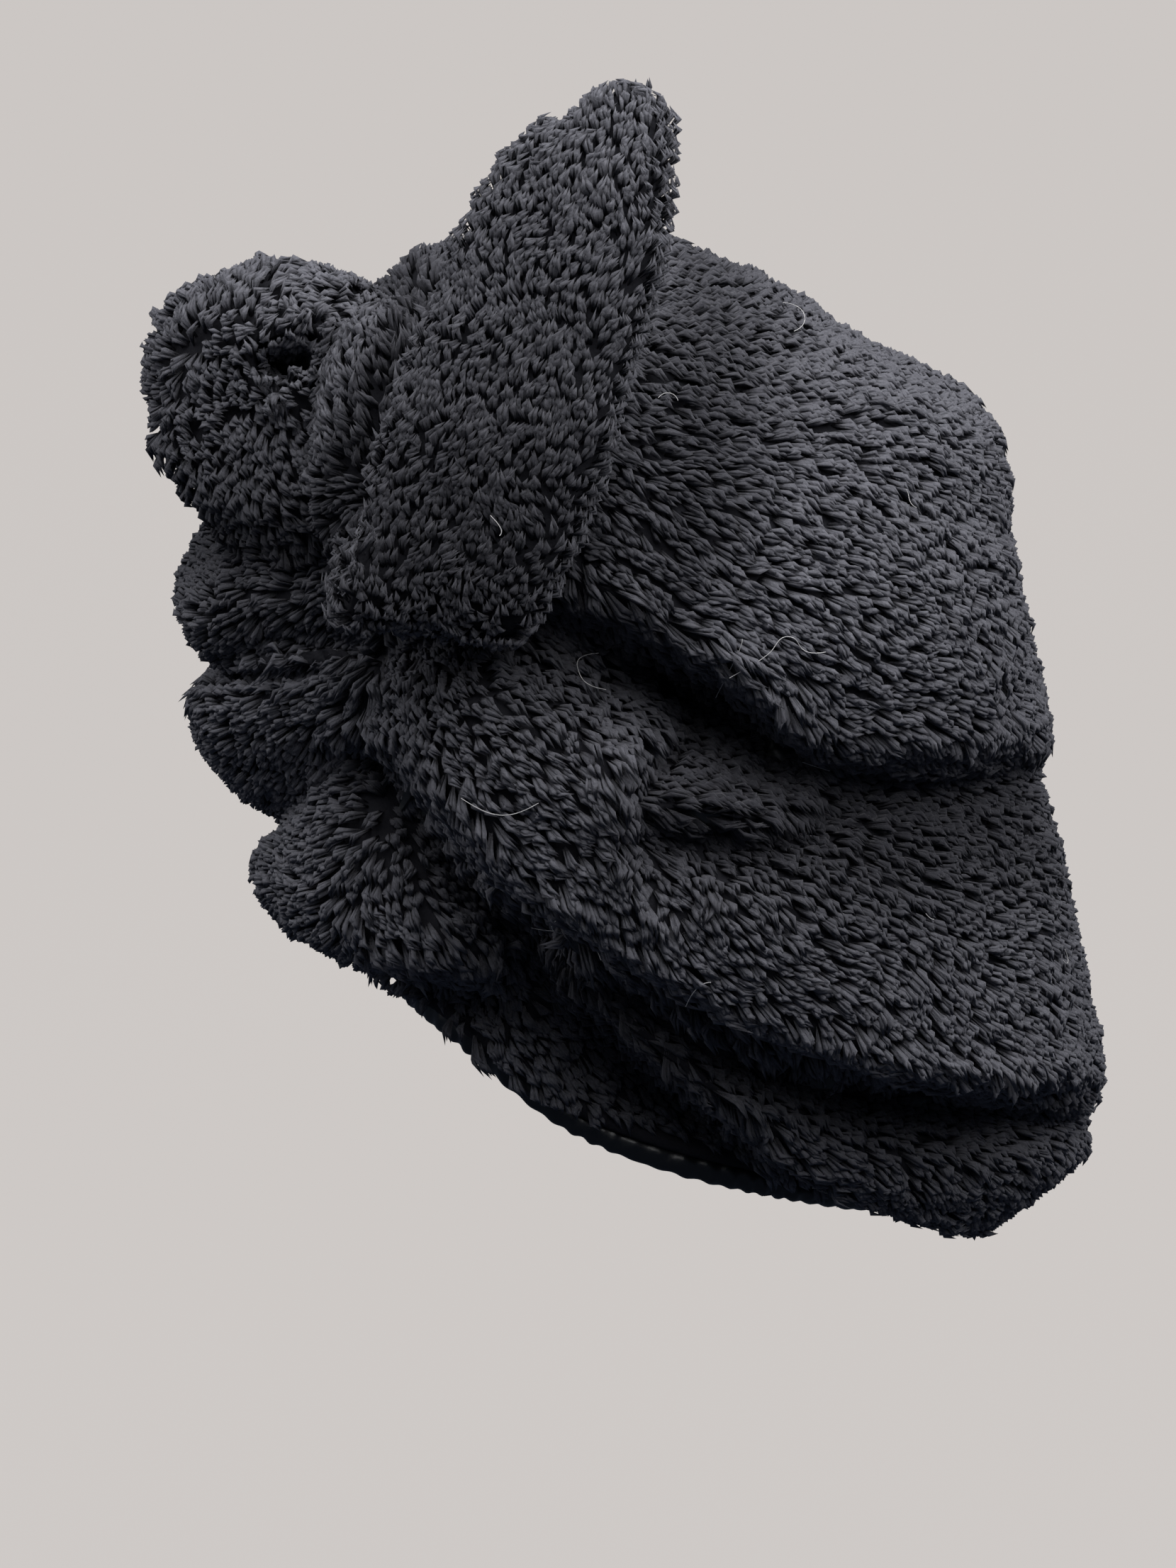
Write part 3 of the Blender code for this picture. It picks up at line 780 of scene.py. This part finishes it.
def dress_bow_piece(node, slot, lay_of, spacing, sizes, seed):
    """A bow piece's backing and pile. The sizes are a lock's length, width and lift, and a curl's width."""
    chance = np.random.default_rng(seed)
    core = rounded(node + "_backing", merged_copy(node), 1)
    moved_in(core.data, PILE_DEPTH * CORE_DRAWN_IN * room_for_pile(node, points_of(core.data)[0]))
    finish_piece(core, knit, slot, node)
    spots, normals = scattered(core.data, spacing, chance)
    free = to_neighbours(node, spots + normals * PILE_DEPTH) > PRESSED
    spots, normals = spots[free], normals[free]
    if node == "tie_end_near":
        sizes = finer_at_the_edge(normals, sizes)
    # Painted shade where the piece comes near the others, for the shadow between them.
    painted_shade = np.exp(-((to_neighbours(node, spots) / CONTACT_SHADE_REACH) ** 2))
    low, high, foot_shade = PAINTED_SHADE_AT_FEET[node]
    facing = SIDES_SHADE_SHARE + (1 - SIDES_SHADE_SHARE) * np.clip(normals @ PHOTO_BACK, 0, 1)
    at_foot = np.clip((high - spots[:, 2]) / (high - low), 0, 1)
    painted_shade = np.maximum(painted_shade, foot_shade * facing * at_foot)
    # Painted shade on the knot beside the standing end, for the standing end's shadow.
    if node == "knot_wrap":
        distance, amount, reach = crease_at(UNDER_THE_STANDING_END, *in_photo(spots))
        painted_shade = np.maximum(painted_shade, amount * np.exp(-((distance / reach) ** 2)))
    lay = lay_of(spots, normals, chance)
    grown = locks(spots, normals, lay, sizes, painted_shade, chance)
    name = node + "_pile"
    finish_piece(piece_of(name, pile_mesh(name, *grown)), pile, slot, node)


# Each bow piece's slot, lay, lock spacing, lock sizes and seed.
BOW_PIECES = {
    "tie_end_near": ("tie_fleece", standing_end_lay, 0.0023, (0.0064, 0.0030, 0.0034, 0.0017), 11),
    "bow_loop_far": ("loop_fleece", loop_lay, 0.0029, (0.0078, 0.0036, 0.0036, 0.0019), 12),
    "knot_wrap": ("knot_fleece", knot_lay, 0.0027, (0.0076, 0.0034, 0.0034, 0.0018), 13),
}
for node, made_with in BOW_PIECES.items():
    dress_bow_piece(node, *made_with)


# The satin edge
# A folded strip of polyester satin binds the opening, puckered by the elastic inside it. The bag's inside is
# the same satin.


def black_satin():
    """Woven polyester satin: long floats that give it a soft, streaky gloss, and fine puckers."""
    material, shader = material_named("black polyester satin")
    place = add(material, "TexCoord", {})
    folds = add(material, "TexNoise", {"Vector": place.outputs["Object"], "Scale": 120.0, "Detail": 2.0})
    weave = add(material, "TexNoise", {"Vector": place.outputs["Object"], "Scale": 2500.0})
    coarse = add(material, "Bump", {"Height": folds.outputs[0], "Strength": 0.5, "Distance": 0.002})
    fine = add(material, "Bump", {"Height": weave.outputs[0], "Strength": 0.15, "Distance": 0.0002})
    material.node_tree.links.new(coarse.outputs["Normal"], fine.inputs["Normal"])
    material.node_tree.links.new(fine.outputs["Normal"], shader.inputs["Normal"])
    shader.inputs["Base Color"].default_value = linear("#0c0d0f")
    shader.inputs["Roughness"].default_value = 0.38
    return material


def pucker(mesh):
    """Draws the strip into the small ripples that its elastic makes, each across the edge."""
    points, normals = points_of(mesh)
    chance = np.random.default_rng(SATIN_SEED)
    round_edge = np.arctan2(points[:, 0], -points[:, 1]) * EDGE_RADIUS
    uneven = UNEVEN_SPACING * drift(points, SPACING_CHANGES_OVER, chance)
    phase = round_edge * 2 * math.pi / PUCKER_SPACING + uneven
    height = PUCKER_HEIGHT * (USUAL_HEIGHT + UNEVEN_HEIGHT * drift(points, HEIGHT_CHANGES_OVER, chance))
    set_points(mesh, points + normals * (height * np.sin(phase))[:, None])


EDGE_RADIUS = 0.088
PUCKER_SPACING = 0.0075
PUCKER_HEIGHT = 0.0005
UNEVEN_SPACING, SPACING_CHANGES_OVER = 1.6, 0.05
USUAL_HEIGHT, UNEVEN_HEIGHT, HEIGHT_CHANGES_OVER = 0.7, 0.5, 0.03
SATIN_SWELL = 0.0008
SATIN_SEED = 21
satin = black_satin()
inside = rounded("bag_inside", bag_lining, 1)
push(inside.data)
crease(inside.data)
finish_piece(inside, satin, "pile_fleece", "bonnet_bag")
binding = rounded("binding", merged_copy("satin_binding"), 3)
set_points(binding.data, points_of(binding.data)[0] + HEM_RISE)
moved_in(binding.data, -SATIN_SWELL)
pucker(binding.data)
finish_piece(binding, satin, "satin", "satin_binding")


# The loose threads
# Pale lint that the pile has picked up, a few single fibres lying curled on its tips, where the photograph
# shows them. Each is given by its pixels in the photograph.

LINT = [
    [(1040, 937), (1070, 933), (1081, 914), (1092, 898), (1115, 899), (1119, 913), (1137, 918), (1152, 912)],
    [(1027, 955), (1034, 935), (1040, 914), (1034, 908)],
    [(824, 937), (809, 944), (806, 967), (816, 985), (835, 989)],
    [(667, 1124), (689, 1137), (719, 1144), (749, 1138), (768, 1125)],
    [(768, 1301), (801, 1312), (824, 1321), (857, 1329)],
    [(801, 1277), (794, 1295), (806, 1310), (822, 1318)],
    [(932, 1060), (936, 1066), (941, 1074)],
    [(1477, 1344), (1485, 1359), (1479, 1371), (1472, 1358)],
    [(977, 1392), (982, 1382), (990, 1376), (1003, 1374)],
    [(1148, 1049), (1152, 1062), (1162, 1064)],
    [(1092, 452), (1110, 448), (1124, 462), (1118, 482), (1102, 488)],
    [(1252, 702), (1262, 712), (1256, 724), (1272, 728)],
    [(926, 578), (930, 569), (944, 570), (953, 579)],
    [(706, 728), (718, 734), (722, 746), (712, 752)],
    [(1286, 1292), (1292, 1300), (1300, 1302)],
]
LINT_RADIUS = 0.00011
LINT_STAND = 0.0062
LINT_WAVE = 0.0006
LINT_SEED = 31


def on_the_pile(x, y):
    """The place on the pile's tips that shows at a pixel of the photograph."""
    scale = SENSOR_MM / LENS_MM / PHOTO_TALL
    way = PHOTO_RIGHT * (x - PHOTO_WIDE / 2) * scale - PHOTO_UP * (y - PHOTO_TALL / 2) * scale - PHOTO_BACK
    hits = [tree.ray_cast(Vector(CAMERA_PLACE), Vector(way)) for tree in backing_trees]
    found = [hit[:2] for hit in hits if hit[0]]
    place, normal = min(found, key=lambda hit: (hit[0] - Vector(CAMERA_PLACE)).length)
    return place + normal * LINT_STAND


def lint_fibre(pixels, chance):
    """One fibre as a thin tube on a smooth curve."""
    curve = bpy.data.curves.new("fibre", "CURVE")
    curve.dimensions = "3D"
    curve.bevel_depth = LINT_RADIUS
    curve.bevel_resolution = 0
    curve.use_fill_caps = True
    line = curve.splines.new("NURBS")
    line.points.add(len(pixels) - 1)
    line.use_endpoint_u = True
    line.order_u = 4
    line.resolution_u = 5
    for point, pixel in zip(line.points, pixels):
        wave = Vector(chance.normal(0, LINT_WAVE, 3))
        point.co = (*(on_the_pile(*pixel) + wave), 1)
    return bpy.data.meshes.new_from_object(bpy.data.objects.new("fibre", curve))


def pale_lint():
    """Loose white polyester fibre: dull, and grey where it is thin."""
    material, shader = material_named("pale lint")
    place = add(material, "TexCoord", {})
    grey = add(material, "TexNoise", {"Vector": place.outputs["Object"], "Scale": 400.0})
    colour = add(material, "ValToRGB", {"Fac": grey.outputs[0]})
    colour.color_ramp.elements[0].color = linear("#77767a")
    colour.color_ramp.elements[1].color = linear("#d8d6d4")
    material.node_tree.links.new(colour.outputs["Color"], shader.inputs["Base Color"])
    shader.inputs["Roughness"].default_value = 0.7
    return material


def lay_lint():
    chance = np.random.default_rng(LINT_SEED)
    gathered = bmesh.new()
    for pixels in LINT:
        gathered.from_mesh(lint_fibre(pixels, chance))
    mesh = bpy.data.meshes.new("lint")
    gathered.to_mesh(mesh)
    gathered.free()
    finish_piece(piece_of("lint", mesh), pale_lint(), "pile_fleece")


backing_trees = []
for name in ("bag_backing", "tie_end_near_backing", "bow_loop_far_backing", "knot_wrap_backing"):
    shell = bmesh.new()
    shell.from_mesh(bpy.data.objects[name].data)
    backing_trees.append(BVHTree.FromBMesh(shell))
lay_lint()


# The studio
# A plain pale floor well under the bonnet, which is also the backdrop. One broad soft light from above and in
# front, one from the upper left, and a weak fill.

BACKDROP = "#cdc8c5"
BACKDROP_GLOW = 0.985
FLOOR_DROP = 0.40
FLOOR_SIZE = 30.0
AIM = Vector((0, 0, 0.12))
AIR_COLOUR, AIR_GLOW = "#9fb0d0", 0.12
# Each softbox's direction, distance, size and power in watts.
SOFTBOXES = {
    "top softbox": (PHOTO_UP + PHOTO_BACK * 0.85 + PHOTO_RIGHT * 0.4, 1.0, 1.4, 25),
    "left softbox": (PHOTO_UP * 0.9 - PHOTO_RIGHT + PHOTO_BACK * 0.25, 1.3, 1.1, 10),
    "front fill": (PHOTO_BACK + PHOTO_UP * 0.4 - PHOTO_RIGHT * 0.5, 1.8, 1.6, 1.5),
}


def lay_floor():
    plane = bmesh.new()
    bmesh.ops.create_grid(plane, x_segments=1, y_segments=1, size=FLOOR_SIZE / 2)
    bmesh.ops.translate(plane, verts=plane.verts, vec=(0, 0, cad_box[0][2] - FLOOR_DROP))
    mesh = bpy.data.meshes.new("floor")
    plane.to_mesh(mesh)
    plane.free()
    floor = piece_of("floor", mesh)
    material, shader = material_named("painted studio floor")
    shader.inputs["Base Color"].default_value = linear("#2a2a2a")
    shader.inputs["Roughness"].default_value = 1.0
    shader.inputs["Specular IOR Level"].default_value = 0.0
    shader.inputs["Emission Color"].default_value = linear(BACKDROP)
    shader.inputs["Emission Strength"].default_value = BACKDROP_GLOW
    floor.data.materials.append(material)
    floor.visible_diffuse = False
    floor.visible_glossy = False


def hang_softbox(name, toward, distance, size, watts):
    """A square softbox that faces the bonnet from this side."""
    lamp = bpy.data.lights.new(name, "AREA")
    lamp.shape = "SQUARE"
    lamp.size = size
    lamp.energy = watts
    box = bpy.data.objects.new(name, lamp)
    toward = Vector(toward).normalized()
    turn = toward.to_track_quat("Z", "Y").to_matrix().to_4x4()
    box.matrix_world = Matrix.Translation(AIM + toward * distance) @ turn
    box.visible_camera = False
    bpy.context.scene.collection.objects.link(box)


def light_room():
    world = bpy.data.worlds.new("studio air")
    bpy.context.scene.world = world
    world.use_nodes = True
    air = world.node_tree.nodes["Background"]
    air.inputs["Color"].default_value = linear(AIR_COLOUR)
    air.inputs["Strength"].default_value = AIR_GLOW
    for name, (toward, distance, size, watts) in SOFTBOXES.items():
        hang_softbox(name, toward, distance, size, watts)


def set_camera():
    data = bpy.data.cameras.new("camera")
    data.lens = LENS_MM
    data.sensor_width = SENSOR_MM
    data.sensor_fit = "AUTO"
    camera = bpy.data.objects.new("camera", data)
    turn = Matrix((PHOTO_RIGHT, PHOTO_UP, PHOTO_BACK)).transposed().to_4x4()
    camera.matrix_world = Matrix.Translation(Vector(CAMERA_PLACE)) @ turn
    bpy.context.scene.collection.objects.link(camera)
    bpy.context.scene.camera = camera


lay_floor()
light_room()
set_camera()
bpy.context.scene.view_settings.view_transform = "Standard"
